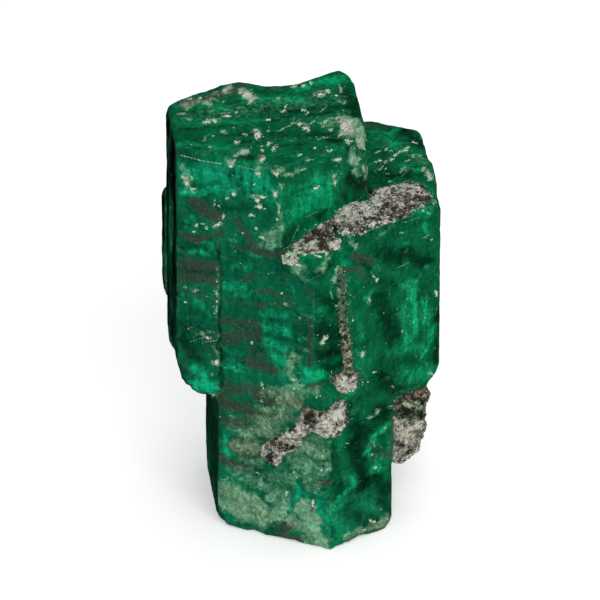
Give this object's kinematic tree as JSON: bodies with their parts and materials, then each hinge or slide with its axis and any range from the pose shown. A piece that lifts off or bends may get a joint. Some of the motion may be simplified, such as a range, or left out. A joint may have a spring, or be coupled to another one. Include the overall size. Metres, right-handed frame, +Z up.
{
  "type": "raw emerald crystal",
  "caption": "Raw emerald: hexagonal green beryl prisms grown side by side in steps, with sparkling mica schist on the ledge, in the seam and in a fracture.",
  "frame": {"origin": "middle of the group seen from above, on the surface that it stands on", "axes": "+Z up the long axis that the prisms share, -Y the front, where the low shelf and the fracture are, +X towards the prism at the right"},
  "size_m": [0.0392, 0.0373, 0.0588],
  "materials": {
    "emerald": "satin",
    "mica_schist": "rough"
  },
  "bodies": {
    "root": {"emerald_crystals": "emerald", "schist_on_ledge": "mica_schist", "schist_in_seam": "mica_schist", "schist_in_fracture": "mica_schist", "schist_lump": "mica_schist"}
  },
  "joints": []
}
